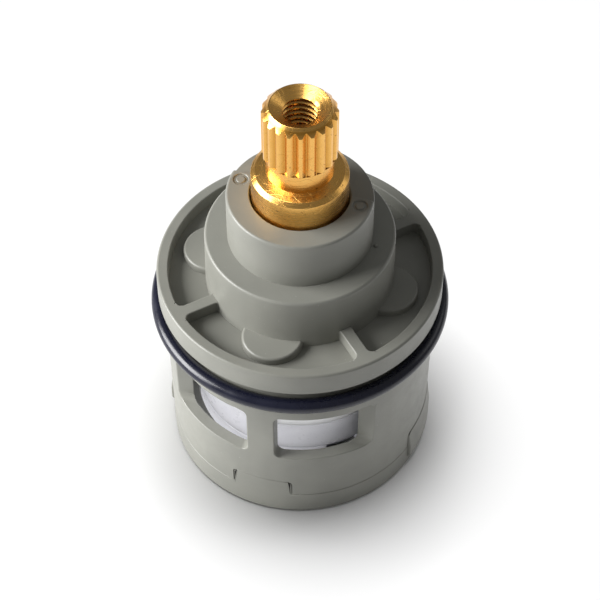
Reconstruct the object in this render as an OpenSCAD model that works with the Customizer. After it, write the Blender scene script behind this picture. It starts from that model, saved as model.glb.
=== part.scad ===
// Rotary diverter cartridge with ceramic discs, in millimetres.
// The Z axis is the stem's axis and z = 0 is the face of the base. The front is at -Y: the
// tongue of the base and the pillar between the front windows stand there. Directions around
// the axis are angles from the front towards +X.

/* [Body] */
// Height of the flange's top face above the base face
body_h = 31.0; // [29.5:0.1:38]
// Outer radius of the skirt at the seam with the base
skirt_r = 17.5; // [16.6:0.1:22]
// Wall thickness of the skirt
skirt_wall = 1.55; // [1.3:0.05:2.2]
// How much wider the skirt is under the flange than at the seam
skirt_draft = 0.2; // [0:0.05:0.3]
// Rounding of the outer edges
edge_r = 0.35; // [0.1:0.05:0.45]

/* [Flange] */
// Overhang of the flange past the skirt at the seam
flange_over = 1.0; // [0.8:0.1:2]
// Width of the flange's raised rim
rim_w = 1.5; // [1:0.1:2]
// Depth of the ring-shaped recess inside the rim
recess_d = 1.8; // [1.4:0.1:2.6]
// Thickness of the plate under the recess
plate_t = 2.6; // [2:0.1:3.5]
// Width of the four ribs across the recess
rib_w = 1.6; // [1:0.1:2.4]
// Corner radius where a rib meets the rim
rib_rim_r = 0.8; // [0.3:0.1:1.2]
// Corner radius where a rib meets the shoulder
rib_tier_r = 0.5; // [0.3:0.1:0.8]
// Radius of the four round pads
pad_r = 3.9; // [3.4:0.1:4.2]
// Height of the pads above the recess
pad_h = 1.1; // [0.8:0.1:1.3]

/* [Flange O-ring] */
// Cord diameter of the flange O-ring
ring_cord = 1.96; // [1.6:0.02:2.3]
// Depth of the O-ring groove below the flange's edge
groove_d = 1.05; // [0.9:0.05:1.2]
// Width of the O-ring groove
groove_w = 3.4; // [3:0.1:4]
// Thickness of the flange's edge above the groove
flange_t = 3.5; // [3:0.1:4]

/* [Shoulder and neck] */
// Height of the shoulder above the recess
shoulder_h = 8.15; // [7:0.05:10]
// Height of the neck above the shoulder
neck_h = 7.1; // [6:0.05:9]
// Wall thickness of the neck
neck_wall = 3.08; // [2.6:0.02:4]
// How much lower the rear part of the neck's top face is
step_d = 0.8; // [0.4:0.05:1.2]
// Distance of that step behind the axis
step_y = 1.3; // [0.8:0.1:2]
// Thickness of the shoulder's roof above the stem's thrust washer
roof_t = 1.55; // [1.2:0.05:2]

/* [Windows] */
// Height of the window sills above the base face
sill_z = 12.3; // [11:0.1:15]
// Height of the band between the windows and the O-ring groove
lintel_h = 3.2; // [2.4:0.1:4]
// Half width of the pillar between two windows
pillar_hw = 1.85; // [1.2:0.05:3]
// Corner radius of the windows
window_corner_r = 1.0; // [0.5:0.1:1.4]
// Distance of the windows' outer sides in front of the axis
window_side = 11.3; // [10.5:0.1:12]

/* [Base] */
// Height of the seam between base and housing
base_h = 4.0; // [3.4:0.1:5]
// Thickness of the base's floor
floor_t = 2.6; // [2.2:0.1:3]
// Height of the base's spigot above the seam
spigot_h = 3.6; // [3.2:0.1:4.5]
// Half width of the front and rear tongues
tongue_hw = 4.0; // [2.5:0.1:5.5]
// Height of the tongues above the seam
tongue_h = 2.8; // [2:0.1:3]
// Half width of the side lugs
lug_hw = 4.9; // [3:0.1:6]
// Height of the side lugs above the seam
lug_h = 3.05; // [2:0.05:3.1]
// How far the side lugs stand out from the base
lug_out = 0.45; // [0.2:0.05:0.7]
// Corner radius of the tongues and lugs
tab_r = 0.6; // [0.2:0.1:1]

/* [Ceramic discs] */
// Width of the water gap between the discs and the skirt's inside
water_gap = 2.15; // [1.8:0.05:3.5]
// Thickness of the fixed disc
fixed_t = 5.1; // [3.8:0.1:5.5]
// Thickness of the moving disc
moving_t = 5.0; // [4:0.1:6]
// Thickness of the rubber bed under the fixed disc
gasket_t = 1.8; // [1.4:0.1:2.4]
// Radius of the two outlet ports
port_r = 3.4; // [2.6:0.1:3.7]
// Half angle of the moving disc's notch
notch_a = 32; // [28:1:38]
// Half angle of the fixed disc's rim notches
key_a = 10.5; // [6:0.5:12]
// Depth of the fixed disc's rim notches
key_d = 1.5; // [1:0.1:1.8]

/* [Stem] */
// Radius of the stem's collar, which turns in the neck
journal_r = 6.07; // [5.1:0.01:7.3]
// Height of the collar's edge above the neck
collar_out = 3.58; // [3:0.02:4.5]
// Length of the plain part between collar and spline
waist_h = 2.65; // [2:0.05:4]
// Length of the splined end
spline_h = 7.95; // [6:0.05:10]
// Outer radius of the spline
spline_r = 4.64; // [4.2:0.02:5]
// Depth of the spline's grooves
tooth_d = 0.45; // [0.3:0.05:0.6]
// Number of spline teeth
tooth_n = 20; // [16:1:24]
// Width of a tooth at its crest
tooth_w = 0.38; // [0.3:0.02:0.5]
// Width of the flat floor between two teeth
groove_floor_w = 0.10; // [0.06:0.02:0.3]
// Radius of the tapped hole, at the thread's crests
thread_r = 2.1; // [1.6:0.05:2.5]
// Depth of the tapped hole
thread_h = 12.0; // [8:0.5:14]
// Width of the square end that turns the driver
square_w = 8.0; // [7:0.1:8.6]
// Cord diameter of the two stem O-rings
stem_cord = 1.2; // [1:0.05:1.3]

/* [Detent] */
// Radius of the detent balls
ball_r = 1.5; // [1.25:0.05:1.6]
// How far a ball drops into a dimple
drop = 0.4; // [0.3:0.05:0.5]
// Wire diameter of the detent springs
wire_d = 0.4; // [0.3:0.05:0.45]
// Number of turns of a detent spring
turns = 3.5; // [2.5:0.5:4]

/* [Hidden] */
$fn = 96;

// Clearances
run_gap = 0.08;      // radial, stem in housing
face_gap = 0.03;     // between faces that slide on each other
fit_gap = 0.10;      // radial, parts pushed together
seam_gap = 0.12;     // around the tongues and lugs of the base
detent_gap = 0.4;    // driver plate under the pocket bosses
hollow_gap = 0.3;    // radial, stem's flange and driver's hub in the housing
mouth_gap = 0.24;    // radial, in the mouth of the neck's bore
eps = 0.01;          // overlap of solids that are joined, and overshoot of cuts
far = 60;            // longer than anything that is cut

// Inner sizes of the housing
mouth_h = 0.9;       // depth of the bore's wider mouth
boss_h = 2.6;        // height of the pocket bosses under the ceiling
boss_wall = 1.3;     // wall of a pocket boss
pocket_wall = 1.7;   // between a pocket and the hollow for the stem's flange
pad_roof = 1.2;      // over a pocket
tier_over = 0.35;    // shoulder radius past the pockets' circle
lip_set = 0.3;       // lip under the O-ring, inside the flange's edge
lip_t = 0.75;        // thickness of that lip
mark_r = 0.9;        // round marks on the neck
mark_w = 0.3;
mark_d = 0.15;

// Sizes of the turning parts
stem_flange_w = 2.1; // stem's flange past its collar
stem_flange_t = 2.6;
washer_t = 0.6;      // thrust washer
track_edge = 1.0;    // driver's plate past the balls
driver_plate_t = 3.0;
grip_h = 4.0;        // square end below the driver's top face
peg_r = 1.5;         // driver's pegs in the moving disc
peg_h = 2.2;
peg_inset = 4.6;     // from the disc's rim
peg_at = [90, 270];
key_low = 2.2;       // base's keys below the fixed disc's top face
key_play = 0.6;      // half angle left free beside a key

// Directions of the four detent pockets, ribs, windows and keys
pocket_at = [0, 90, 180, 270];
rib_at = [45, 135, 225, 315];
key_at = [-77.5, 42.5];
port_at = [135, 225];
tongue_at = [0, 180];
lug_at = [90, 270];
detent_a = 45;

// Heights, from the base face up
fixed_z = floor_t + gasket_t;
moving_z = fixed_z + fixed_t + face_gap;
driver_z = moving_z + moving_t;
recess_z = body_h - recess_d;
ceiling_z = recess_z - plate_t;
boss_z = ceiling_z - boss_h;
plate_z = boss_z - detent_gap;
shoulder_z = recess_z + shoulder_h;
neck_z = shoulder_z + neck_h;
thrust_z = shoulder_z - roof_t;
stem_flange_z = thrust_z - washer_t - face_gap;
hub_z = stem_flange_z - stem_flange_t;
groove_z = body_h - flange_t - groove_w;
lintel_z = groove_z - lintel_h;
collar_z = neck_z + collar_out;

// Radii, from the stem out
bore_r = journal_r + run_gap;
neck_r = bore_r + neck_wall;
stem_flange_r = journal_r + stem_flange_w;
hollow_r = stem_flange_r + hollow_gap;
pocket_r = ball_r + fit_gap;
track_r = hollow_r + pocket_wall + pocket_r;
boss_r = pocket_r + boss_wall;
tier_r = track_r + tier_over;
chamber_r = skirt_r - skirt_wall;
disc_r = chamber_r - water_gap;
flange_r = skirt_r + flange_over;
rim_r = flange_r - rim_w;
floor_r = flange_r - groove_d;
driver_plate_r = track_r + ball_r + track_edge;
peg_c = disc_r - peg_inset;

// Outlets: as close together as their seals allow
seal_w = 1.65;
seal_h = 1.2;
seal_r = port_r + seal_w;
seal_web = 0.9;
port_c = (seal_r + seal_web / 2) / sin((port_at[1] - port_at[0]) / 2);

// Detent springs and balls, at the height where a ball rolls on the driver's plate
ball_z = plate_z + ball_r + face_gap;
pocket_top = recess_z + pad_h - pad_roof;
coil_r = pocket_r - wire_d / 2 - 0.2;
coil_low = ball_z + sqrt(pow(ball_r + wire_d / 2 + face_gap, 2) - coil_r * coil_r);
coil_high = pocket_top - wire_d / 2 - eps;

// ---- Helpers ----

// Puts a shape that stands at the axis at radius r, a degrees round from the front
module at(a, r = 0) {
    rotate([0, 0, a])
        translate([0, -r, 0])
            children();
}

module tube(r_out, r_in, z0, z1) {
    translate([0, 0, z0])
        difference() {
            cylinder(h = z1 - z0, r = r_out);
            translate([0, 0, -eps])
                cylinder(h = z1 - z0 + 2 * eps, r = r_in);
        }
}

module disc(r, z0, z1) {
    translate([0, 0, z0])
        cylinder(h = z1 - z0, r = r);
}

// Prism over the sector within half degrees of direction a
module sector(a, half, z0, z1) {
    reach = far * tan(half);
    at(a)
        translate([0, 0, z0])
            linear_extrude(height = z1 - z0)
                polygon([[0, 0], [-reach, -far], [reach, -far]]);
}

// Rectangle from the origin's corner with four rounded corners
module round_rect(w, h, r) {
    translate([r, 0])
        square([w - 2 * r, h]);
    translate([0, r])
        square([w, h - 2 * r]);
    for (x = [r, w - r], y = [r, h - r])
        translate([x, y])
            circle(r = r);
}

// Quarter arc from angle a0 to a1 as a list of points, for profiles
function arc(cx, cy, r, a0, a1, n = 6) =
    [for (i = [0:n]) let (a = a0 + (a1 - a0) * i / n) [cx + r * cos(a), cy + r * sin(a)]];

// Block in direction a with the outline of a tongue or lug, grown by gap all round
module tab(a, half_w, h, gap = 0) {
    w = half_w + gap;
    top = base_h + h + gap;
    at(a)
        rotate([90, 0, 0])
            linear_extrude(height = far)
                translate([-w, -far + top])
                    round_rect(2 * w, far, tab_r + gap);
}

// ---- Housing ----

// Outer shape: skirt, groove, flange, shoulder and neck, with the rounded edges
module housing_outside() {
    skirt_top = skirt_r + skirt_draft;
    lip_r = flange_r - lip_set;
    lip_z = groove_z - lip_t;
    slope = 0.1;
    rotate_extrude()
        polygon(concat(
            [[0, base_h], [skirt_r, base_h], [skirt_top, lip_z - (lip_r - skirt_top)]],
            [[lip_r, lip_z], [lip_r, groove_z], [floor_r, groove_z]],
            [[floor_r, groove_z + groove_w], [flange_r, groove_z + groove_w]],
            arc(flange_r - edge_r, body_h - edge_r, edge_r, 0, 90),
            arc(rim_r + edge_r / 2, body_h - edge_r / 2, edge_r / 2, 90, 180),
            [[rim_r - slope, recess_z], [tier_r + slope, recess_z]],
            arc(tier_r - edge_r, shoulder_z - edge_r, edge_r, 0, 90),
            [[neck_r, shoulder_z]],
            arc(neck_r - edge_r, neck_z - edge_r, edge_r, 0, 90),
            [[0, neck_z]]));
    intersection() {
        for (a = pocket_at)
            at(a, track_r)
                rotate_extrude()
                    polygon(concat(
                        [[0, recess_z - eps], [pad_r, recess_z - eps]],
                        arc(pad_r - edge_r, recess_z + pad_h - edge_r, edge_r, 0, 90),
                        [[0, recess_z + pad_h]]));
        disc(rim_r, 0, neck_z);
    }
    for (a = rib_at)
        at(a)
            translate([0, 0, recess_z - eps])
                linear_extrude(height = recess_d + eps)
                    rib_outline();
}

// A rib from above, with its round corners at the rim and at the shoulder
module rib_outline() {
    sunk = 0.3;
    side = rib_w / 2;
    rim_x = side + rib_rim_r;
    rim_y = -sqrt(pow(rim_r - rib_rim_r, 2) - rim_x * rim_x);
    tier_x = side + rib_tier_r;
    tier_y = -sqrt(pow(tier_r + rib_tier_r, 2) - tier_x * tier_x);
    half = concat(
        [[0, -rim_r - sunk], [rim_x, -rim_r - sunk]],
        arc(rim_x, rim_y, rib_rim_r, atan2(rim_y, rim_x), -180, 8),
        arc(tier_x, tier_y, rib_tier_r, 180, 180 + atan2(tier_y, tier_x), 8),
        [[tier_x, -tier_r + sunk], [0, -tier_r + sunk]]);
    for (s = [0, 1])
        mirror([s, 0])
            polygon(half);
}

// Two windows on one side: straight sides, as a core pulled out along Y leaves them
module window_pair() {
    w = far;
    h = lintel_z - sill_z;
    for (s = [0, 1])
        mirror([s, 0, 0])
            intersection() {
                translate([pillar_hw, 0, sill_z])
                    rotate([90, 0, 0])
                        linear_extrude(height = w)
                            round_rect(w, h, window_corner_r);
                translate([0, -window_side, sill_z])
                    rotate([90, 0, 90])
                        linear_extrude(height = w)
                            mirror([1, 0])
                                round_rect(w, h, window_corner_r);
            }
}

// What is hollow: chamber, room for the stem's flange, and the bore with its wider mouth
module housing_inside() {
    mouth_r = journal_r + mouth_gap;
    mouth_z = neck_z - mouth_h;
    taper = mouth_r - bore_r;
    disc(chamber_r, base_h - eps, ceiling_z);
    disc(hollow_r, base_h, thrust_z);
    disc(bore_r, base_h, neck_z + eps);
    disc(mouth_r, mouth_z, neck_z + eps);
    translate([0, 0, mouth_z - taper])
        cylinder(h = taper + eps, r1 = bore_r, r2 = mouth_r);
}

// Plain ring marks sunk in the neck's top face
module neck_marks() {
    for (s = [-1, 1])
        translate([s * (bore_r + neck_r) / 2, 0, 0])
            tube(mark_r, mark_r - mark_w, neck_z - mark_d, neck_z + 1);
}

module housing() {
    color([0.55, 0.55, 0.52])
        difference() {
            union() {
                difference() {
                    housing_outside();
                    housing_inside();
                    window_pair();
                    rotate([0, 0, 180])
                        window_pair();
                }
                intersection() {
                    for (a = pocket_at)
                        at(a, track_r)
                            disc(boss_r, boss_z, ceiling_z + eps);
                    tube(chamber_r + eps, hollow_r, 0, body_h);
                }
            }
            for (a = pocket_at)
                at(a, track_r)
                    disc(pocket_r, boss_z - eps, pocket_top);
            for (a = tongue_at)
                tab(a, tongue_hw, tongue_h, seam_gap);
            for (a = lug_at)
                tab(a, lug_hw, lug_h, seam_gap);
            translate([-far / 2, step_y, neck_z - step_d])
                cube([far, far, far]);
            neck_marks();
        }
}

// ---- Base ----

module base_side_lugs() {
    out_r = skirt_r + lug_out;
    lug_low = base_h / 2;
    intersection() {
        rotate_extrude()
            polygon([
                [chamber_r - 1, lug_low - lug_out],
                [skirt_r - eps, lug_low - lug_out],
                [out_r, lug_low],
                [out_r, base_h],
                [skirt_r + 0.1, base_h + lug_h],
                [chamber_r - 1, base_h + lug_h]
            ]);
        for (a = lug_at)
            tab(a, lug_hw, lug_h);
    }
}

module base() {
    spigot_r = chamber_r - fit_gap;
    spigot_top = base_h + spigot_h;
    seat_r = disc_r + fit_gap;
    key_top = fixed_z + fixed_t - key_low;
    color([0.56, 0.56, 0.53])
        difference() {
            union() {
                rotate_extrude()
                    polygon([
                        [0, 0],
                        [skirt_r - edge_r, 0],
                        [skirt_r, edge_r],
                        [skirt_r, base_h - 0.05],
                        [spigot_r, base_h - 0.05],
                        [spigot_r, spigot_top],
                        [seat_r, spigot_top],
                        [seat_r, floor_t],
                        [0, floor_t]
                    ]);
                intersection() {
                    tube(skirt_r, spigot_r - eps, base_h - 0.1, base_h + tongue_h);
                    for (a = tongue_at)
                        tab(a, tongue_hw, tongue_h);
                }
                difference() {
                    base_side_lugs();
                    disc(spigot_r - eps, 0, body_h);
                }
                intersection() {
                    tube(seat_r + eps, disc_r - key_d + fit_gap, floor_t - eps, key_top);
                    for (a = key_at)
                        sector(a, key_a - key_play, 0, body_h);
                }
            }
            for (a = port_at)
                at(a, port_c) {
                    disc(port_r, -eps, floor_t + eps);
                    disc(seal_r + face_gap, -eps, seal_h);
                }
        }
}

// ---- Rings and seals ----

module o_ring(r_mid, cord, z) {
    translate([0, 0, z])
        rotate_extrude()
            translate([r_mid, 0])
                circle(d = cord, $fn = 48);
}

module flange_o_ring() {
    color([0.10, 0.11, 0.18])
        o_ring(floor_r + ring_cord / 2 + face_gap, ring_cord, groove_z + ring_cord / 2 + face_gap);
}

// The two grooves of the stem share these sizes
stem_groove_w = stem_cord * 1.33;
stem_groove_r = journal_r - stem_cord + face_gap;
upper_ring_z = thrust_z + 5.6;
lower_ring_z = thrust_z + 2.4;

module stem_o_ring(z) {
    color([0.09, 0.09, 0.10])
        o_ring(stem_groove_r + stem_cord / 2, stem_cord - eps, z);
}

module thrust_washer() {
    color([0.92, 0.92, 0.90])
        tube(stem_flange_r, bore_r + 0.1, thrust_z - washer_t, thrust_z);
}

module disc_gasket() {
    color([0.12, 0.12, 0.13])
        difference() {
            disc(disc_r - 0.1, floor_t, fixed_z);
            for (a = port_at)
                at(a, port_c)
                    disc(port_r, floor_t - eps, fixed_z + eps);
            intersection() {
                tube(disc_r + 1, disc_r - key_d, 0, body_h);
                for (a = key_at)
                    sector(a, key_a, 0, body_h);
            }
        }
}

module outlet_seal(a) {
    color([0.12, 0.12, 0.13])
        at(a, port_c)
            tube(seal_r, port_r, 0, seal_h);
}

// ---- Ceramic discs and driver ----

module fixed_disc() {
    color([0.95, 0.95, 0.97])
        difference() {
            disc(disc_r, fixed_z, fixed_z + fixed_t);
            for (a = port_at)
                at(a, port_c)
                    disc(port_r, fixed_z - eps, fixed_z + fixed_t + eps);
            intersection() {
                tube(disc_r + 1, disc_r - key_d, 0, body_h);
                for (a = key_at)
                    sector(a, key_a, 0, body_h);
            }
        }
}

module moving_disc() {
    color([0.96, 0.96, 0.98])
        difference() {
            disc(disc_r, moving_z, moving_z + moving_t);
            intersection() {
                tube(disc_r + 1, port_c - port_r - 0.3, 0, body_h);
                sector(180, notch_a, 0, body_h);
            }
            for (a = peg_at)
                at(a, peg_c)
                    disc(peg_r + fit_gap, driver_z - peg_h - fit_gap, driver_z + eps);
        }
}

module driver() {
    body_top = plate_z - driver_plate_t;
    dimple_n = 360 / detent_a;
    socket_w = square_w + fit_gap;
    color([0.94, 0.94, 0.93])
        difference() {
            union() {
                disc(disc_r, driver_z, body_top + eps);
                disc(driver_plate_r, body_top, plate_z);
                disc(stem_flange_r, plate_z - eps, hub_z);
                for (a = peg_at)
                    at(a, peg_c)
                        disc(peg_r, driver_z - peg_h, driver_z + eps);
            }
            translate([-socket_w / 2, -socket_w / 2, plate_z - grip_h - fit_gap])
                cube([socket_w, socket_w, far]);
            for (i = [0:dimple_n - 1])
                at(i * detent_a, track_r)
                    translate([0, 0, ball_z - drop])
                        sphere(r = ball_r + face_gap, $fn = 64);
        }
}

// ---- Stem ----

// Outline of the splined end: flats between teeth with a narrow crest
module spline_outline() {
    step = 360 / tooth_n;
    root_r = spline_r - tooth_d;
    crest_a = asin(tooth_w / 2 / spline_r);
    root_a = step / 2 - asin(groove_floor_w / 2 / root_r);
    polygon([for (i = [0:tooth_n - 1]) each [
        for (p = [[root_r, -root_a], [spline_r, -crest_a], [spline_r, crest_a], [root_r, root_a]])
            let (a = i * step + p[1]) [p[0] * cos(a), p[0] * sin(a)]
    ]]);
}

module stem() {
    root_r = spline_r - tooth_d;
    chamfer_h = 0.42;
    chamfer_w = 0.55;
    collar_top = collar_z + chamfer_h + 0.3;
    spline_z = collar_top + waist_h;
    tip_z = spline_z + spline_h;
    sink_r = spline_r - 0.97;
    tip_r = sink_r + 0.08;
    tip_slope = 1.1;
    sink_slope = 30; // a countersink of 120 degrees
    sink_h = (sink_r - thread_r) * tan(sink_slope);
    square_h = hub_z - plate_z + grip_h;
    color([0.86, 0.66, 0.26])
        difference() {
            union() {
                rotate_extrude()
                    polygon([
                        [0, hub_z],
                        [stem_flange_r - 0.15, hub_z],
                        [stem_flange_r, hub_z + 0.15],
                        [stem_flange_r, stem_flange_z],
                        [journal_r, stem_flange_z],
                        [journal_r, collar_z],
                        [journal_r - chamfer_w, collar_z + chamfer_h],
                        [root_r, collar_top],
                        [root_r, tip_z - (root_r - tip_r) * tip_slope],
                        [tip_r, tip_z],
                        [0, tip_z]
                    ]);
                intersection() {
                    translate([0, 0, spline_z])
                        linear_extrude(height = spline_h)
                            spline_outline();
                    rotate_extrude()
                        polygon([
                            [0, spline_z],
                            [root_r, spline_z],
                            [spline_r + eps, spline_z + tooth_d],
                            [spline_r + eps, tip_z - (spline_r + eps - tip_r) * tip_slope],
                            [tip_r, tip_z],
                            [0, tip_z]
                        ]);
                }
                translate([-square_w / 2, -square_w / 2, hub_z - square_h])
                    cube([square_w, square_w, square_h + eps]);
            }
            disc(thread_r, tip_z - thread_h, tip_z + eps);
            translate([0, 0, tip_z - sink_h])
                cylinder(h = sink_h + eps, r1 = thread_r, r2 = sink_r + eps);
            for (z = [lower_ring_z, upper_ring_z])
                tube(journal_r + 1, stem_groove_r, z - stem_groove_w / 2, z + stem_groove_w / 2);
        }
}

// ---- Detent ----

module detent_ball(a) {
    color([0.75, 0.76, 0.78])
        at(a, track_r)
            translate([0, 0, ball_z])
                sphere(r = ball_r, $fn = 64);
}

// Points of one ring of the wire's tube, t from 0 to 1 along the coil
function coil_ring(t, sides) =
    let (a = 360 * turns * t, z = coil_low + (coil_high - coil_low) * t)
    [for (j = [0:sides - 1]) let (b = 360 * j / sides, r = coil_r + wire_d / 2 * cos(b))
        [r * cos(a), r * sin(a), z + wire_d / 2 * sin(b)]];

module detent_spring(a) {
    sides = 8;
    rings = ceil(turns * 16);
    points = [for (i = [0:rings]) each coil_ring(i / rings, sides)];
    last = rings * sides;
    walls = [for (i = [0:rings - 1], j = [0:sides - 1])
        let (k = (j + 1) % sides)
        [i * sides + j, i * sides + k, (i + 1) * sides + k, (i + 1) * sides + j]];
    caps = [[for (j = [0:sides - 1]) sides - 1 - j], [for (j = [0:sides - 1]) last + j]];
    color([0.70, 0.71, 0.73])
        at(a, track_r)
            polyhedron(points = points, faces = concat(walls, caps));
}

housing();
base();
flange_o_ring();
stem();
stem_o_ring(upper_ring_z);  // stem_o_ring_upper
stem_o_ring(lower_ring_z);  // stem_o_ring_lower
thrust_washer();
driver();
moving_disc();
fixed_disc();
disc_gasket();
outlet_seal(port_at[1]);  // outlet_seal_left
outlet_seal(port_at[0]);  // outlet_seal_right
detent_ball(pocket_at[0]);  // detent_ball_front
detent_ball(pocket_at[1]);  // detent_ball_right
detent_ball(pocket_at[2]);  // detent_ball_rear
detent_ball(pocket_at[3]);  // detent_ball_left
detent_spring(pocket_at[0]);  // detent_spring_front
detent_spring(pocket_at[1]);  // detent_spring_right
detent_spring(pocket_at[2]);  // detent_spring_rear
detent_spring(pocket_at[3]);  // detent_spring_left
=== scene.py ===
"""Looks of a rotary diverter cartridge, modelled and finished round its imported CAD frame.

Every operator finishes one piece or one group of like pieces, and the last one sets the stage.
All sizes are in metres in the frame's own axes: Z is the stem's axis, z = 0 the base face and
-Y the front. Sizes that the frame can tell are read from the boxes of its nodes.
"""

import math

import bmesh
import bpy
from bpy.props import FloatProperty, FloatVectorProperty, IntProperty, PointerProperty
from mathutils import Matrix, Vector


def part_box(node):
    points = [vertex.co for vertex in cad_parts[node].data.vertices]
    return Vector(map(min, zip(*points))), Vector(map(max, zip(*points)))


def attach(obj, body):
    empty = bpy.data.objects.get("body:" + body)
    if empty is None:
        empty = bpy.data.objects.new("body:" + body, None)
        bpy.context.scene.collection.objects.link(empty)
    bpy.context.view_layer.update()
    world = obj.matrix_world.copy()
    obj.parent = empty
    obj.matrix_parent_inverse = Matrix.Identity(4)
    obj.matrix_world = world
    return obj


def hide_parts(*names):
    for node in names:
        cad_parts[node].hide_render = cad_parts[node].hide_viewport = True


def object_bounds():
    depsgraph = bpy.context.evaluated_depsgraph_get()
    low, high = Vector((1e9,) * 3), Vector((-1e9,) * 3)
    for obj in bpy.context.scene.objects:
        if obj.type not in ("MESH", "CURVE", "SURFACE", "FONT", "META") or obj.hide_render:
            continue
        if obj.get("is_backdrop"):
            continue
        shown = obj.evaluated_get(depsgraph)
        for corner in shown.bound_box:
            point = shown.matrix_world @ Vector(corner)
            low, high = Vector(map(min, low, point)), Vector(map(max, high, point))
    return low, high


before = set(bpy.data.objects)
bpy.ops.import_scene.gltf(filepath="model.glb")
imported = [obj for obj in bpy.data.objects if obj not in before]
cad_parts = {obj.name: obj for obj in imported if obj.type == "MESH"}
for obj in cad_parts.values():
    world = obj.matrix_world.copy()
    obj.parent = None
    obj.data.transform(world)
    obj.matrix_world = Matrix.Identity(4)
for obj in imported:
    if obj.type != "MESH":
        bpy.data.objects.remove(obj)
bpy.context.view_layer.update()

bl_info = {
    "name": "Diverter cartridge",
    "version": (1, 0, 0),
    "blender": (4, 5, 0),
    "location": "3D View > Sidebar > Cartridge",
    "description": "Models and finishes the pieces of a rotary diverter cartridge",
    "category": "Object",
}

MM = 0.001
SIDES = ("front", "right", "rear", "left")


# ---- Sizes and colours that a user would change ----


def length(name, description, default):
    """A length property whose default is given in millimetres."""
    return FloatProperty(
        name=name, description=description, default=default * MM, min=0.0, unit="LENGTH", precision=5
    )


def share(name, description, default):
    """A property that goes from 0 to 1."""
    return FloatProperty(
        name=name, description=description, default=default, min=0.0, max=1.0, subtype="FACTOR"
    )


def colour(name, description, default):
    """A linear colour property."""
    return FloatVectorProperty(
        name=name, description=description, default=default, min=0.0, max=1.0, size=3, subtype="COLOR"
    )


def angle(name, description, default):
    """An angle property whose default is given in degrees."""
    return FloatProperty(name=name, description=description, default=math.radians(default), subtype="ANGLE")


def power(name, description, default):
    """A property for the power of a light in watts."""
    return FloatProperty(name=name, description=description, default=default, min=0.0, unit="POWER")


def point(name, description, default):
    """A property for a point in the frame's axes, in metres."""
    return FloatVectorProperty(
        name=name, description=description, default=default, size=3, subtype="TRANSLATION"
    )


class ShellSettings(bpy.types.PropertyGroup):
    """Moulded housing and base."""

    tone: colour("Tone", "Colour of the moulded plastic", (0.256, 0.256, 0.226))
    tone_low: colour("Low tone", "Colour of its darker flow patches", (0.223, 0.224, 0.198))
    speck_tone: colour("Speck tone", "Colour of its fine dark specks", (0.20, 0.20, 0.175))
    dust_tone: colour("Dust tone", "Colour of the pale dust on it", (0.55, 0.55, 0.50))
    roughness: share("Roughness", "Roughness of the moulded surface", 0.36)
    edge: length("Edge", "Rounding of the moulded edges", 0.16)
    grain: length("Grain", "Size of the mould's texture", 0.22)
    grain_depth: length("Grain depth", "Depth of the mould's texture", 0.0012)
    seam_h: length("Seam height", "The housing's edges below this height stay crisper", 7.4)
    pip: length("Pip", "Radius of the moulding pip on the shoulder", 0.3)
    pip_azimuth: angle("Pip azimuth", "Direction of the pip, from the front towards the right", 92.0)
    pip_reach: length("Pip reach", "Distance of the pip from the stem's axis", 9.85)
    shoulder_z: length("Shoulder height", "Height of the shoulder's top face above the base face", 37.35)


class RingSettings(bpy.types.PropertyGroup):
    """Rubber rings."""

    tone: colour("Tone", "Colour of the flange's O-ring", (0.0065, 0.0075, 0.019))
    seal_tone: colour("Seal tone", "Colour of the inner seals", (0.016, 0.016, 0.018))
    roughness: share("Roughness", "Roughness of the oiled rubber", 0.26)
    seal_edge: length("Seal edge", "Rounding of the seals' edges", 0.12)
    steps: IntProperty(name="Steps", description="Sections around the O-ring", default=192, min=48, max=384)


class StemSettings(bpy.types.PropertyGroup):
    """Turned and milled brass stem."""

    tone: colour("Tone", "Reflection colour of the brass", (0.92, 0.52, 0.14))
    tarnish: colour("Tarnish", "Reflection colour of its darker patches", (0.84, 0.42, 0.08))
    speck_tone: colour("Speck tone", "Reflection colour of its dark specks", (0.16, 0.07, 0.02))
    # The groove and root colours are painted shade: darker brass down in the spline's grooves and the
    # thread's roots.
    groove_shade_tone: colour("Groove tone", "Reflection colour in the spline's grooves", (0.62, 0.29, 0.04))
    root_shade_tone: colour("Root tone", "Reflection colour in the thread's roots", (0.22, 0.09, 0.02))
    roughness: share("Roughness", "Roughness of the turned faces", 0.24)
    collar: length("Collar", "Radius of the collar", 6.07)
    chamfer_w: length("Chamfer width", "Width of the collar's chamfer", 0.55)
    chamfer_h: length("Chamfer height", "Height of the collar's chamfer", 0.42)
    cone_h: length("Cone height", "Rise of the collar's top face towards the waist", 0.3)
    waist_h: length("Waist height", "Length of the plain waist", 2.65)
    spline_h: length("Spline height", "Length of the splined end", 7.95)
    spline_r: length("Spline radius", "Radius over the teeth", 4.64)
    tooth_d: length("Tooth depth", "Depth of the grooves", 0.45)
    tooth_w: length("Crest width", "Width of a tooth at its crest", 0.38)
    groove_floor_w: length("Groove floor", "Width of the flat floor between two teeth", 0.10)
    teeth: IntProperty(name="Teeth", description="Number of teeth", default=20, min=16, max=24)
    thread_r: length("Hole radius", "Radius of the tapped hole at the thread's crests", 2.1)
    thread_h: length("Hole depth", "Depth of the tapped hole", 12.0)
    pitch: length("Pitch", "Pitch of the thread", 0.8)
    thread_d: length("Thread depth", "Depth of the thread", 0.4)
    square_w: length("Square width", "Width of the square end", 8.0)
    tip_w: length("Tip width", "Distance from the countersink's rim to the crests", 0.97)
    sink: angle("Countersink", "Slope of the countersink", 30.0)
    edge: length("Edge", "Rounding of the cut edges", 0.04)


class DiscSettings(bpy.types.PropertyGroup):
    """Ceramic discs and the white plastic round them."""

    ceramic: colour("Ceramic", "Colour of the ceramic discs", (0.86, 0.86, 0.96))
    plastic: colour("Plastic", "Colour of the driver and the washer", (0.90, 0.90, 0.93))
    edge: length("Edge", "Rounding of the edges", 0.15)


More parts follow.
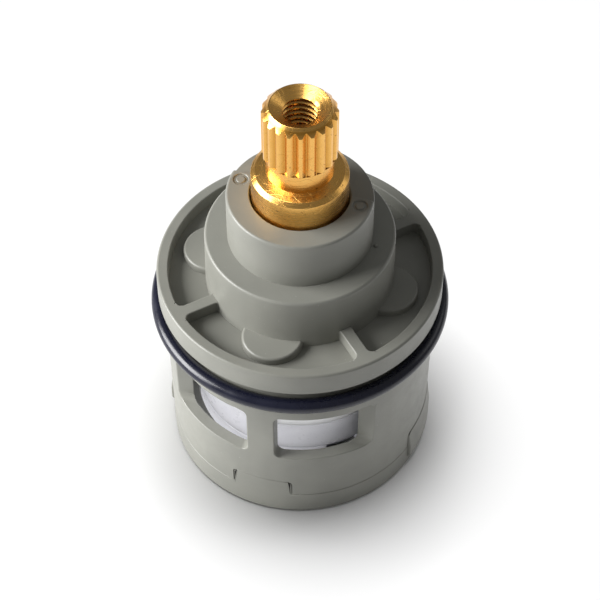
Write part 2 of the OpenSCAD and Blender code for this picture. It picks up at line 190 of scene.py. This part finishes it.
class DetentSettings(bpy.types.PropertyGroup):
    """Steel balls and springs."""

    steel: colour("Steel", "Reflection colour of the steel", (0.62, 0.62, 0.64))
    dull_steel: colour("Dull steel", "Reflection colour of its marks", (0.42, 0.42, 0.44))
    wire: length("Wire", "Diameter of the spring wire", 0.4)
    turns: FloatProperty(name="Turns", description="Turns of a spring", default=3.5, min=2.0, max=5.0)


class StageSettings(bpy.types.PropertyGroup):
    """Floor, lights and camera."""

    floor: colour("Floor", "Colour of the floor", (0.90, 0.90, 0.90))
    azimuth: angle("Azimuth", "Direction of the camera, from the front towards the right", 17.0)
    elevation: angle("Elevation", "Height of the camera above the horizon", 50.74)
    distance: length("Distance", "Distance of the camera from its target", 260.1)
    target: length("Target", "Height that the camera looks at", 20.0)
    lens: FloatProperty(name="Lens", description="Focal length of the lens in millimetres", default=117.3)
    rise: FloatProperty(name="Rise", description="Vertical shift of the camera", default=0.0295)
    aim: length("Aim", "Height that the lights round the cartridge are aimed at", 30.0)
    key: power("Key", "Power of the key light", 4.2)
    key_size: length("Key size", "Edge of the key light", 300.0)
    key_azimuth: angle("Key azimuth", "Direction of the key light, from the front towards the right", -70.0)
    key_elevation: angle("Key elevation", "Height of the key light above the horizon", 25.0)
    key_distance: length("Key distance", "Distance of the key light", 420.0)
    side: power("Side", "Power of the weak light at the right rear", 0.12)
    side_size: length("Side size", "Edge of the side light", 220.0)
    side_azimuth: angle("Side azimuth", "Direction of the side light", 128.0)
    side_elevation: angle("Side elevation", "Height of the side light above the horizon", 34.0)
    side_distance: length("Side distance", "Distance of the side light", 500.0)
    front: power("Front", "Power of the light on the white parts in the windows", 1.5)
    front_size: length("Front size", "Edge of the front light", 200.0)
    front_azimuth: angle("Front azimuth", "Direction of the front light", -38.0)
    front_elevation: angle("Front elevation", "Height of the front light above the horizon", 18.0)
    front_distance: length("Front distance", "Distance of the front light", 420.0)
    table: power("Table", "Power of the light over the floor", 4.0)
    table_size: length("Table size", "Edge of the light over the floor", 340.0)
    table_place: point("Table place", "Place of the light over the floor", (-0.068, 0.05, 0.62))
    top: power("Top", "Power of the light on the brass from above", 0.8)
    top_size: length("Top size", "Edge of the top light", 200.0)
    top_place: point("Top place", "Place of the top light", (-0.16, -0.03, 0.48))
    fill: FloatProperty(name="Fill", description="Strength of the even light all round", default=0.19)


GROUPS = {
    "shell": ShellSettings,
    "rings": RingSettings,
    "stem": StemSettings,
    "discs": DiscSettings,
    "detent": DetentSettings,
    "stage": StageSettings,
}


class CartridgeSettings(bpy.types.PropertyGroup):
    """All the settings of the cartridge."""

    __annotations__ = {
        name: PointerProperty(type=group, name=name.capitalize()) for name, group in GROUPS.items()
    }


def settings(group):
    """The scene's settings of one group."""
    return getattr(bpy.context.scene.cartridge, group)


# ---- Mesh helpers ----


def merged_copy(node):
    """A bmesh copy of a CAD node with its triangles joined into clean faces."""
    flat = math.radians(0.3)
    bm = bmesh.new()
    bm.from_mesh(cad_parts[node].data)
    bmesh.ops.remove_doubles(bm, verts=bm.verts, dist=0.001 * MM)
    bmesh.ops.dissolve_limit(bm, angle_limit=flat, verts=bm.verts, edges=bm.edges)
    return bm


def add_piece(name, bm, body, material, nodes=()):
    """Makes a smooth shaded object of a bmesh and puts it on a CAD body in place of some nodes."""
    mesh = bpy.data.meshes.new(name)
    bm.to_mesh(mesh)
    bm.free()
    mesh.shade_smooth()
    mesh.materials.append(material)
    piece = bpy.data.objects.new(name, mesh)
    bpy.context.scene.collection.objects.link(piece)
    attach(piece, body)
    if nodes:
        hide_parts(*nodes)
    return piece


def mark_edges(bm, sharp=32):
    """Marks the outer corners for rounding and keeps the inner corners crisp."""
    weight = bm.edges.layers.float.new("bevel_weight_edge")
    for edge in bm.edges:
        turn = math.degrees(edge.calc_face_angle_signed(0.0))
        edge[weight] = 1.0 if turn > sharp else 0.0
        edge.smooth = abs(turn) < sharp
    return bm


def round_edges(piece, width, segments=3):
    """Rounds the marked edges of a piece."""
    bevel = piece.modifiers.new("round_edges", "BEVEL")
    bevel.width = width
    bevel.segments = segments
    bevel.limit_method = "WEIGHT"
    bevel.use_clamp_overlap = False
    bevel.harden_normals = True


def finish_node(name, material):
    """Gives a CAD node that stays in view its material."""
    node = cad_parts[name]
    node.data.materials.clear()
    node.data.materials.append(material)


def ring_stack(bm, azimuths, rings):
    """Skins a stack of rings round Z. A ring is a pair of functions of the azimuth: radius, height."""
    circle = bmesh.ops.create_circle(bm, segments=len(azimuths), radius=1.0)
    verts = circle["verts"]
    edges = list({e for v in verts for e in v.link_edges})
    at = dict(zip(verts, azimuths))
    first = list(edges)
    for i, (radius, height) in enumerate(rings):
        if i:
            new = bmesh.ops.extrude_edge_only(bm, edges=edges)["geom"]
            old = at
            edges = [g for g in new if isinstance(g, bmesh.types.BMEdge)]
            verts = [g for g in new if isinstance(g, bmesh.types.BMVert)]
            at = {v: old[e.other_vert(v)] for v in verts for e in v.link_edges if e.other_vert(v) in old}
        for v in verts:
            a = at[v]
            v.co = Vector((radius(a) * math.sin(a), -radius(a) * math.cos(a), height(a)))
    return first, edges


def towards(azimuth, elevation):
    """The unit vector in a direction, with its azimuth measured from the front towards the right."""
    across = math.cos(elevation)
    return Vector((math.sin(azimuth) * across, -math.cos(azimuth) * across, math.sin(elevation)))


def flat_fn(value):
    """A function that is the same all round."""
    return lambda a: value


# ---- Materials ----


class Finish:
    """A node material in the making: a Principled surface with patterns in Object coordinates."""

    def __init__(self, name, tone, roughness, **constants):
        self.material = bpy.data.materials.new(name)
        self.material.use_nodes = True
        tree = self.material.node_tree
        self.nodes = tree.nodes
        self.links = tree.links
        self.surface = self.nodes["Principled BSDF"]
        self.surface.inputs["Base Color"].default_value = (*tone, 1.0)
        self.surface.inputs["Roughness"].default_value = roughness
        for socket, value in constants.items():
            self.surface.inputs[socket.replace("_", " ")].default_value = value
        self.place = self.add("ShaderNodeTexCoord").outputs["Object"]

    def add(self, kind, inputs=None, **fields):
        """Adds a node; an input is a value or a socket to join."""
        node = self.nodes.new(kind)
        for name, value in fields.items():
            setattr(node, name, value)
        for name, value in (inputs or {}).items():
            self.join(value, node.inputs[name])
        return node

    def join(self, value, socket):
        """Joins an output socket to an input, or sets the input to a value."""
        if isinstance(value, bpy.types.NodeSocket):
            self.links.new(value, socket)
        else:
            socket.default_value = value

    def math(self, operation, a, b=0.0):
        """One step of arithmetic."""
        return self.add("ShaderNodeMath", {0: a, 1: b}, operation=operation).outputs[0]

    def noise(self, size, detail=3.0, stretch=(1, 1, 1), place=None):
        """Noise whose features are about size metres wide."""
        mapped = self.add("ShaderNodeMapping", {"Vector": place or self.place, "Scale": stretch})
        texture = self.add(
            "ShaderNodeTexNoise",
            {"Vector": mapped.outputs[0], "Scale": 1.0 / size, "Detail": detail, "Roughness": 0.6},
        )
        return texture.outputs[0]

    def spread(self, value, low, high, to_low=0.0, to_high=1.0):
        """Stretches the range from low to high to another range, and cuts off what is outside."""
        return self.add(
            "ShaderNodeMapRange",
            {"Value": value, "From Min": low, "From Max": high, "To Min": to_low, "To Max": to_high},
        ).outputs[0]

    def mix(self, amount, a, b):
        """Mixes two colours."""
        a, b = ((*c, 1.0) if isinstance(c, tuple) else c for c in (a, b))
        return self.add("ShaderNodeMix", {0: amount, 6: a, 7: b}, data_type="RGBA").outputs[2]

    def bump(self, height, depth, normal=None):
        """A bump of that depth in metres, on top of another."""
        inputs = {"Height": height, "Distance": depth, "Strength": 1.0}
        if normal is not None:
            inputs["Normal"] = normal
        return self.add("ShaderNodeBump", inputs).outputs[0]

    def lathe_place(self):
        """Coordinates of a turned piece: radius, height and a slow turn round the axis."""
        parts = self.add("ShaderNodeSeparateXYZ", {0: self.place}).outputs
        across = self.math("POWER", self.math("ADD", self.math("POWER", parts[0], 2.0),
                                              self.math("POWER", parts[1], 2.0)), 0.5)
        turn = self.math("MULTIPLY", self.math("ARCTAN2", parts[0], parts[1]), 0.2 * MM)
        return self.add("ShaderNodeCombineXYZ", {0: across, 1: parts[2], 2: turn}).outputs[0]

    def scratches(self, size, normal):
        """A few fine scratches in three directions, cut into the surface."""
        for turn in (0.4, 1.5, 2.4):
            turned = self.add("ShaderNodeMapping", {"Vector": self.place, "Rotation": (turn, 0.6, turn)})
            lines = self.noise(size, 0.0, (0.12, 1.0, 1.0), turned.outputs[0])
            off = self.math("ABSOLUTE", self.math("SUBTRACT", lines, 0.56))
            normal = self.bump(self.spread(off, 0.0, 0.006, 1.0, 0.0), -0.006 * MM, normal)
        return normal

    def set(self, **inputs):
        """Joins patterns to the surface's sockets and returns the material."""
        for name, value in inputs.items():
            self.join(value, self.surface.inputs[name.replace("_", " ")])
        return self.material


def moulded_plastic():
    """Warm grey plastic with a fine matt mould texture and faint flow patches."""
    s = settings("shell")
    f = Finish("moulded_plastic", s.tone, s.roughness)
    patches = f.spread(f.noise(9 * MM, 2.0), 0.35, 0.65)
    specks = f.spread(f.noise(0.9 * MM, 4.0), 0.3, 0.7)
    tone = f.mix(patches, tuple(s.tone_low), tuple(s.tone))
    tone = f.mix(f.math("MULTIPLY", specks, 0.08), tone, tuple(s.speck_tone))
    dust = f.spread(f.noise(0.35 * MM, 2.0), 0.74, 0.78)
    tone = f.mix(f.math("MULTIPLY", dust, 0.5), tone, tuple(s.dust_tone))
    rough = f.spread(f.noise(1.7 * MM, 4.0), 0.3, 0.7, s.roughness - 0.05, s.roughness + 0.07)
    grain = f.bump(f.noise(s.grain, 2.0), s.grain_depth)
    return f.set(Base_Color=tone, Roughness=rough, Normal=grain)


def oiled_rubber(name, tone, roughness):
    """Black rubber with a thin film of grease."""
    f = Finish(name, tone, roughness, IOR=1.52)
    film = f.noise(2.4 * MM, 3.0)
    rough = f.spread(film, 0.3, 0.7, roughness - 0.04, roughness + 0.06)
    dull = f.mix(f.spread(film, 0.45, 0.75, 0.0, 0.25), tuple(tone), tuple(2.0 * c for c in tone))
    skin = f.bump(f.noise(0.5 * MM, 2.0), 0.001 * MM)
    return f.set(Base_Color=dull, Roughness=rough, Normal=skin)


def stem_marks(s):
    """Root radius and bottom of the spline, then rim radius and bottom of the countersink."""
    tip_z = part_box("stem")[1].z
    sink_r = s.spline_r - s.tip_w
    sink_z = tip_z - (sink_r - s.thread_r) * math.tan(s.sink)
    return s.spline_r - s.tooth_d, tip_z - s.spline_h, sink_r, sink_z


def stem_hollow_shade(f, s, lathe):
    """Masks of the thread's roots and of the spline's grooves, strongest at their bottoms, where shade is
    painted into the brass.
    """
    across, height = f.add("ShaderNodeSeparateXYZ", {0: lathe}).outputs[:2]
    root_r, spline_z, _, sink_z = stem_marks(s)
    thread_end_r = s.thread_r + s.thread_d
    hole = f.math("MULTIPLY", f.spread(across, thread_end_r + 0.1 * MM, thread_end_r + 0.3 * MM, 1.0, 0.0),
                  f.spread(height, sink_z - 0.1 * MM, sink_z, 1.0, 0.0))
    roots = f.math("MULTIPLY", hole, f.spread(across, s.thread_r, thread_end_r, 0.3, 1.0))
    teeth = f.math("MULTIPLY", f.spread(across, root_r - 0.2 * MM, root_r - 0.1 * MM),
                   f.spread(across, root_r + 0.05 * MM, s.spline_r - 0.08 * MM, 0.8, 0.0))
    grooves = f.math("MULTIPLY", teeth, f.spread(height, spline_z, spline_z + 0.2 * MM))
    return roots, grooves


def turned_brass():
    """Brass off the lathe: fine rings round the axis, a few scratches, faint tarnish and painted shade in
    the thread's roots and the spline's grooves.
    """
    s = settings("stem")
    f = Finish("turned_brass", s.tone, s.roughness, Metallic=1.0, Coat_Weight=0.12, Coat_Roughness=0.12)
    lathe = f.lathe_place()
    rings = f.noise(0.09 * MM, 3.0, place=lathe)
    patches = f.spread(f.noise(1.6 * MM, 4.0), 0.35, 0.75)
    tone = f.mix(f.math("MULTIPLY", patches, 0.4), tuple(s.tone), tuple(s.tarnish))
    specks = f.spread(f.noise(0.45 * MM, 3.0), 0.66, 0.72)
    tone = f.mix(f.math("MULTIPLY", specks, 0.75), tone, tuple(s.speck_tone))
    roots, grooves = stem_hollow_shade(f, s, lathe)
    # Painted shade: the brass darkens down into the thread's roots and the spline's grooves.
    tone = f.mix(roots, tone, tuple(s.root_shade_tone))
    tone = f.mix(grooves, tone, tuple(s.groove_shade_tone))
    rough = f.spread(rings, 0.3, 0.7, s.roughness - 0.05, s.roughness + 0.08)
    turned = f.bump(rings, 0.0015 * MM)
    scratched = f.scratches(2.5 * MM, turned)
    return f.set(Base_Color=tone, Roughness=rough, Normal=scratched)


def white_solid(name, tone, roughness, grain):
    """White ceramic or plastic with faint mottling, which lets a little light through."""
    f = Finish(
        name, tone, roughness, Subsurface_Weight=0.8, Subsurface_Radius=(1, 1, 1), Subsurface_Scale=4 * MM
    )
    mottle = f.spread(f.noise(1.4 * MM, 4.0), 0.3, 0.7)
    colours = f.mix(f.math("MULTIPLY", mottle, 0.5), tuple(tone), tuple(0.93 * c for c in tone))
    rough = f.spread(f.noise(0.7 * MM, 3.0), 0.3, 0.7, roughness - 0.05, roughness + 0.08)
    return f.set(Base_Color=colours, Roughness=rough, Normal=f.bump(f.noise(grain, 2.0), 0.002 * MM))


def bright_steel(name, roughness):
    """Polished or drawn steel."""
    s = settings("detent")
    f = Finish(name, s.steel, roughness, Metallic=1.0)
    marks = f.noise(0.2 * MM, 4.0)
    tone = f.mix(f.spread(marks, 0.4, 0.8, 0.0, 0.4), tuple(s.steel), tuple(s.dull_steel))
    rough = f.spread(marks, 0.3, 0.7, roughness - 0.05, roughness + 0.10)
    return f.set(Base_Color=tone, Roughness=rough, Normal=f.bump(marks, 0.001 * MM))


# ---- Operators ----


class CARTRIDGE_OT_shell(bpy.types.Operator):
    """Rounds the moulded edges of the housing and the base and gives them their plastic"""

    bl_idname = "cartridge.shell"
    bl_label = "Housing and base"

    def execute(self, context):
        s = settings("shell")
        plastic = moulded_plastic()
        for node, slot in (("housing", "body_plastic"), ("base", "base_plastic")):
            bm = mark_edges(merged_copy(node))
            if node == "housing":
                self.keep_seam_crisp(bm, s.seam_h)
                self.add_pip(bm, s)
            piece = add_piece(node + "_shell", bm, "body", plastic, [node])
            round_edges(piece, s.edge)
            shading = piece.modifiers.new("even_shading", "WEIGHTED_NORMAL")
            shading.keep_sharp = True
        return {"FINISHED"}

    def keep_seam_crisp(self, bm, height):
        """Rounds the lower rim less, and leaves the edges round the tongues and lugs as they are."""
        weight = bm.edges.layers.float["bevel_weight_edge"]
        rim_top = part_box("housing")[0].z + 0.3 * MM
        rim_weight = 0.6
        for edge in bm.edges:
            top = max(v.co.z for v in edge.verts)
            if top < height:
                edge[weight] *= rim_weight if top < rim_top else 0.0

    def add_pip(self, bm, s):
        """A low pip on the shoulder, right of the neck, where the moulding was cut from its gate."""
        radius = s.pip
        sunk = 0.05 * MM
        across = s.pip_reach * towards(s.pip_azimuth, 0.0)
        middle = Vector((across.x, across.y, s.shoulder_z + radius / 2 - sunk))
        pip = bmesh.ops.create_cone(
            bm, cap_ends=True, segments=20, radius1=radius, radius2=0.8 * radius, depth=radius,
            matrix=Matrix.Translation(middle),
        )
        upper = [v for v in pip["verts"] if v.co.z > middle.z]
        rim = list({e for v in upper for e in v.link_edges if e.other_vert(v) in upper})
        bmesh.ops.bevel(
            bm, geom=rim, offset=0.25 * radius, segments=2, profile=0.5, affect="EDGES", material=-1
        )


class CARTRIDGE_OT_flange_o_ring(bpy.types.Operator):
    """Spins the O-ring under the flange"""

    bl_idname = "cartridge.flange_o_ring"
    bl_label = "Flange O-ring"

    def execute(self, context):
        s = settings("rings")
        low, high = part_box("flange_o_ring")
        cord = high.z - low.z
        bm = bmesh.new()
        middle = Vector((high.x - cord / 2, 0, (low.z + high.z) / 2))
        upright = Matrix.Translation(middle) @ Matrix.Rotation(math.pi / 2, 4, "X")
        section = bmesh.ops.create_circle(bm, segments=32, radius=cord / 2, matrix=upright)
        edges = list({e for v in section["verts"] for e in v.link_edges})
        bmesh.ops.spin(
            bm, geom=section["verts"] + edges, cent=(0, 0, 0), axis=(0, 0, 1), dvec=(0, 0, 0),
            angle=2 * math.pi, steps=s.steps, use_merge=True,
        )
        bmesh.ops.remove_doubles(bm, verts=bm.verts, dist=0.001 * MM)
        bmesh.ops.recalc_face_normals(bm, faces=bm.faces)
        rubber = oiled_rubber("ring_rubber", s.tone, s.roughness)
        add_piece("flange_o_ring_cord", bm, "body", rubber, ["flange_o_ring"])
        return {"FINISHED"}


class CARTRIDGE_OT_stem(bpy.types.Operator):
    """Models the brass stem with its spline, grooves, square end and real thread"""

    bl_idname = "cartridge.stem"
    bl_label = "Stem"

    def execute(self, context):
        s = settings("stem")
        tip_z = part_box("stem")[1].z
        azimuths, half_tooth = self.azimuths(s)
        bm = bmesh.new()
        first, last = ring_stack(bm, azimuths, self.outline(s, half_tooth))
        bmesh.ops.holes_fill(bm, edges=first)
        bmesh.ops.holes_fill(bm, edges=last)
        bmesh.ops.recalc_face_normals(bm, faces=bm.faces)
        brass = turned_brass()
        piece = add_piece("stem_brass", mark_edges(bm, sharp=16), "rotor", brass, ["stem"])
        round_edges(piece, s.edge, segments=2)
        self.cut_thread(piece, s, tip_z)
        return {"FINISHED"}

    def azimuths(self, s):
        """Directions of the stem's points, and the half angle of a tooth between crest and root."""
        step = 2 * math.pi / s.teeth
        crest = math.asin(s.tooth_w / 2 / s.spline_r)
        gap = 2 * math.asin(s.groove_floor_w / 2 / (s.spline_r - s.tooth_d))
        root = (step - gap) / 2
        marks = [-root, -crest, 0.0, crest, root, root + gap / 4, root + gap / 2, root + 3 * gap / 4]
        return [i * step + m for i in range(s.teeth) for m in marks], (crest + root) / 2

    def outline(self, s, half_tooth):
        """The stem's rings, from the square end up to the tip and down the tapped hole."""
        low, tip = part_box("stem")
        root_r, spline_z, sink_r, _ = stem_marks(s)
        step = 2 * math.pi / s.teeth
        tip_slope = 1.1
        tip_flat = 0.08 * MM
        tip_r = sink_r + tip_flat

        def square(a):
            return s.square_w / 2 / max(abs(math.cos(a)), abs(math.sin(a)))

        def toothed(a):
            off = (a + step / 2) % step - step / 2
            return s.spline_r if abs(off) < half_tooth else root_r

        rings = [(square, flat_fn(low.z)), (square, flat_fn(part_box("driver")[1].z))]
        rings += [(flat_fn(r), flat_fn(z)) for r, z in self.turned_profile(s)]
        rings += [(toothed, flat_fn(spline_z + s.tooth_d))]
        rings += [(toothed, lambda a: tip.z - (toothed(a) - tip_r) * tip_slope)]
        rings += [(flat_fn(r), flat_fn(z)) for r, z in [(tip_r, tip.z)] + self.bored_profile(s, tip.z)]
        return rings

    def turned_profile(self, s):
        """Radius and height of the turned corners, from the shoulder up to the spline's bottom."""
        nick = 0.15 * MM
        washer_gap = 0.03 * MM
        shoulder_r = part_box("stem")[1].x
        hub_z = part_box("driver")[1].z
        washer_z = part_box("thrust_washer")[0].z - washer_gap
        root_r, spline_z, _, _ = stem_marks(s)
        waist_z = spline_z - s.waist_h
        collar_z = waist_z - s.cone_h - s.chamfer_h
        profile = [(shoulder_r - nick, hub_z), (shoulder_r, hub_z + nick), (shoulder_r, washer_z)]
        profile += [(s.collar, washer_z)]
        profile += self.seal_groove(s, "stem_o_ring_lower") + self.seal_groove(s, "stem_o_ring_upper")
        profile += [(s.collar, collar_z), (s.collar - s.chamfer_w, collar_z + s.chamfer_h)]
        return profile + [(root_r, waist_z), (root_r, spline_z)]

    def seal_groove(self, s, node):
        """Radius and height of the corners of one O-ring's groove, a third wider than the cord."""
        wider = 1.34
        low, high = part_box(node)
        cord = high.z - low.z
        middle = (low.z + high.z) / 2
        half = wider * cord / 2
        floor = high.x - cord
        return [(s.collar, middle - half), (floor, middle - half), (floor, middle + half),
                (s.collar, middle + half)]

    def bored_profile(self, s, tip_z):
        """Radius and height of the bored corners, from the countersink's rim down to the drill point."""
        drill_slope = 0.6
        drill_tip_r = 0.02 * MM
        _, _, sink_r, sink_z = stem_marks(s)
        hole_z = tip_z - s.thread_h
        return [(sink_r, tip_z), (s.thread_r, sink_z), (s.thread_r, hole_z),
                (drill_tip_r, hole_z - s.thread_r * drill_slope)]

    def cut_thread(self, piece, s, top):
        """Cuts the thread with a triangle that winds down the hole."""
        steps = 40
        turns = math.ceil(s.thread_h / s.pitch)
        half = 0.45 * s.pitch
        sunk = 0.12 * MM
        bm = bmesh.new()
        bottom = top - s.thread_h + s.pitch
        corners = [(s.thread_r - sunk, -half), (s.thread_r + s.thread_d, 0.0), (s.thread_r - sunk, half)]
        face = bm.faces.new([bm.verts.new((x, 0, bottom + z)) for x, z in corners])
        face.copy()
        bmesh.ops.spin(
            bm, geom=[face, *face.edges, *face.verts], cent=(0, 0, 0), axis=(0, 0, 1),
            dvec=(0, 0, s.pitch / steps), angle=2 * math.pi * turns, steps=turns * steps,
        )
        bmesh.ops.remove_doubles(bm, verts=bm.verts, dist=0.001 * MM)
        bmesh.ops.recalc_face_normals(bm, faces=bm.faces)
        mesh = bpy.data.meshes.new("thread_tool")
        bm.to_mesh(mesh)
        bm.free()
        tool = bpy.data.objects.new("thread_tool", mesh)
        bpy.context.scene.collection.objects.link(tool)
        cut = piece.modifiers.new("thread", "BOOLEAN")
        cut.object = tool
        cut.operation = "DIFFERENCE"
        cut.solver = "EXACT"
        apply_modifiers(piece)
        bpy.data.objects.remove(tool)


def apply_modifiers(piece):
    """Turns a piece's modifiers into its mesh."""
    graph = bpy.context.evaluated_depsgraph_get()
    done = bpy.data.meshes.new_from_object(piece.evaluated_get(graph))
    old = piece.data
    piece.modifiers.clear()
    piece.data = done
    bpy.data.meshes.remove(old)


class CARTRIDGE_OT_discs(bpy.types.Operator):
    """Finishes the two ceramic discs, the driver and the thrust washer"""

    bl_idname = "cartridge.discs"
    bl_label = "Discs and driver"

    def execute(self, context):
        s = settings("discs")
        ceramic = white_solid("disc_ceramic", s.ceramic, 0.30, 0.12 * MM)
        plastic = white_solid("white_plastic", s.plastic, 0.38, 0.30 * MM)
        plan = (
            ("fixed_disc", "body", "disc_ceramic", ceramic),
            ("moving_disc", "rotor", "disc_ceramic", ceramic),
            ("driver", "rotor", "driver_plastic", plastic),
            ("thrust_washer", "body", "washer_plastic", plastic),
        )
        for node, body, slot, material in plan:
            piece = add_piece(node + "_solid", mark_edges(merged_copy(node)), body, material, [node])
            low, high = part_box(node)
            round_edges(piece, min(s.edge, 0.2 * (high.z - low.z)), segments=2)
        return {"FINISHED"}


class CARTRIDGE_OT_seals(bpy.types.Operator):
    """Finishes the seals of the stem, the discs and the outlets"""

    bl_idname = "cartridge.seals"
    bl_label = "Seals"

    def execute(self, context):
        s = settings("rings")
        rubber = oiled_rubber("seal_rubber", s.seal_tone, 0.45)
        for node in ("disc_gasket", "outlet_seal_left", "outlet_seal_right"):
            bm = mark_edges(merged_copy(node))
            piece = add_piece(node + "_rubber", bm, "body", rubber, [node])
            round_edges(piece, s.seal_edge, segments=2)
        for node in ("stem_o_ring_upper", "stem_o_ring_lower"):
            finish_node(node, rubber)
        return {"FINISHED"}


class CARTRIDGE_OT_detent(bpy.types.Operator):
    """Finishes the detent balls and winds their springs"""

    bl_idname = "cartridge.detent"
    bl_label = "Detent balls and springs"

    def execute(self, context):
        s = settings("detent")
        polished = bright_steel("ball_steel", 0.14)
        drawn = bright_steel("spring_steel", 0.30)
        for side in SIDES:
            finish_node("detent_ball_" + side, polished)
            self.wind_spring(s, side, drawn)
        return {"FINISHED"}

    def wind_spring(self, s, side, material):
        """Spins the wire's section up round the spring's own axis."""
        node = "detent_spring_" + side
        low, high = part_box(node)
        centre = (low + high) / 2
        radius = (high.x - low.x - s.wire) / 2
        per_turn = 24
        steps = round(s.turns * per_turn)
        rise = (high.z - low.z - s.wire) / steps
        start = Vector((centre.x + radius, centre.y, low.z + s.wire / 2))
        upright = Matrix.Translation(start) @ Matrix.Rotation(math.pi / 2, 4, "X")
        bm = bmesh.new()
        section = bmesh.ops.create_circle(
            bm, segments=12, radius=s.wire / 2, matrix=upright, cap_ends=True
        )
        geom = section["verts"] + list({e for v in section["verts"] for e in v.link_edges}) + bm.faces[:]
        bmesh.ops.spin(
            bm, geom=geom, cent=(centre.x, centre.y, 0), axis=(0, 0, 1),
            dvec=(0, 0, rise), angle=2 * math.pi * s.turns, steps=steps,
        )
        bmesh.ops.recalc_face_normals(bm, faces=bm.faces)
        add_piece(node + "_coil", bm, "body", material, [node])


class CARTRIDGE_OT_stage(bpy.types.Operator):
    """Sets the floor, the studio lights and the camera"""

    bl_idname = "cartridge.stage"
    bl_label = "Stage"

    def execute(self, context):
        s = settings("stage")
        self.set_lights(s, self.lay_floor(s))
        self.set_camera(s)
        return {"FINISHED"}

    def lay_floor(self, s):
        """A wide pale floor under the base."""
        half = 2.0
        bm = bmesh.new()
        bmesh.ops.create_grid(bm, x_segments=1, y_segments=1, size=half)
        mesh = bpy.data.meshes.new("floor")
        bm.to_mesh(mesh)
        bm.free()
        f = Finish("pale_floor", s.floor, 0.55)
        mesh.materials.append(f.set(Normal=f.bump(f.noise(2 * MM, 2.0), 0.002 * MM)))
        floor = bpy.data.objects.new("floor", mesh)
        floor.location.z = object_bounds()[0].z
        bpy.context.scene.collection.objects.link(floor)
        floor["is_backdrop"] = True
        return floor

    def add_softbox(self, s, name, place, target):
        """A square area light that faces a point; its power and its edge are settings."""
        light = bpy.data.lights.new(name, "AREA")
        light.shape = "SQUARE"
        light.size = getattr(s, name + "_size")
        light.energy = getattr(s, name)
        lamp = bpy.data.objects.new(name, light)
        lamp.location = place
        lamp.rotation_mode = "QUATERNION"
        lamp.rotation_quaternion = (Vector(place) - Vector(target)).to_track_quat("Z", "Y")
        bpy.context.scene.collection.objects.link(lamp)
        return lamp

    def add_side_light(self, s, name, aim):
        """A square area light that stands in its own direction from the point that it faces."""
        away = towards(getattr(s, name + "_azimuth"), getattr(s, name + "_elevation"))
        return self.add_softbox(s, name, aim + getattr(s, name + "_distance") * away, aim)

    def set_lights(self, s, floor):
        """Lights from the left, right rear, front and top, a wide one over the floor, and an even fill."""
        world = bpy.data.worlds.new("studio")
        world.use_nodes = True
        sky = world.node_tree.nodes["Background"]
        sky.inputs["Color"].default_value = (1.0, 1.0, 1.0, 1.0)
        sky.inputs["Strength"].default_value = s.fill
        bpy.context.scene.world = world
        whites = [bpy.data.objects[node + "_solid"] for node in ("moving_disc", "fixed_disc", "driver")]
        stem = bpy.data.objects["stem_brass"]
        aim = Vector((0, 0, s.aim))
        key = self.add_side_light(s, "key", aim)
        self.add_side_light(s, "side", aim)
        table = self.add_softbox(s, "table", s.table_place, (0, 0, 0))
        front = self.add_side_light(s, "front", aim)
        top = self.add_softbox(s, "top", s.top_place, aim)
        self.link_lights(key, "EXCLUDE", [floor, *whites])
        self.link_lights(table, "INCLUDE", [floor])
        self.link_lights(top, "INCLUDE", [stem])
        self.link_lights(front, "INCLUDE", whites)
        front.light_linking.blocker_collection = front.light_linking.receiver_collection

    def link_lights(self, lamp, state, pieces):
        """Makes a light reach only these pieces, or all but these."""
        lit = bpy.data.collections.new(lamp.name + "_lights")
        for piece in pieces:
            lit.objects.link(piece)
        for member in lit.collection_objects:
            member.light_linking.link_state = state
        lamp.light_linking.receiver_collection = lit

    def set_camera(self, s):
        """A long lens at the viewing angle, shifted up a little."""
        camera = bpy.data.cameras.new("camera")
        camera.lens = s.lens
        camera.sensor_width = 36.0
        camera.shift_y = s.rise
        camera.clip_start = 0.01
        camera.clip_end = 10.0
        back = towards(s.azimuth, s.elevation)
        eye = bpy.data.objects.new("camera", camera)
        eye.location = Vector((0, 0, s.target)) + back * s.distance
        eye.rotation_mode = "QUATERNION"
        eye.rotation_quaternion = back.to_track_quat("Z", "Y")
        bpy.context.scene.collection.objects.link(eye)
        bpy.context.scene.camera = eye
        bpy.context.scene.view_settings.view_transform = "Standard"


OPERATORS = (
    CARTRIDGE_OT_shell,
    CARTRIDGE_OT_flange_o_ring,
    CARTRIDGE_OT_stem,
    CARTRIDGE_OT_discs,
    CARTRIDGE_OT_seals,
    CARTRIDGE_OT_detent,
    CARTRIDGE_OT_stage,
)


class CARTRIDGE_PT_panel(bpy.types.Panel):
    """Lists the cartridge's operators and settings"""

    bl_idname = "CARTRIDGE_PT_panel"
    bl_label = "Diverter cartridge"
    bl_space_type = "VIEW_3D"
    bl_region_type = "UI"
    bl_category = "Cartridge"

    def draw(self, context):
        for operator in OPERATORS:
            self.layout.operator(operator.bl_idname)
        for name, group in GROUPS.items():
            box = self.layout.box()
            box.label(text=name.capitalize())
            for prop in group.__annotations__:
                box.prop(settings(name), prop)


CLASSES = (*GROUPS.values(), CartridgeSettings, *OPERATORS, CARTRIDGE_PT_panel)


def register():
    for cls in CLASSES:
        bpy.utils.register_class(cls)
    bpy.types.Scene.cartridge = PointerProperty(type=CartridgeSettings)


def unregister():
    del bpy.types.Scene.cartridge
    for cls in reversed(CLASSES):
        bpy.utils.unregister_class(cls)


def main():
    """Makes everything in order."""
    register()
    for operator in OPERATORS:
        group, name = operator.bl_idname.split(".")
        getattr(getattr(bpy.ops, group), name)()


if __name__ == "__main__":
    main()
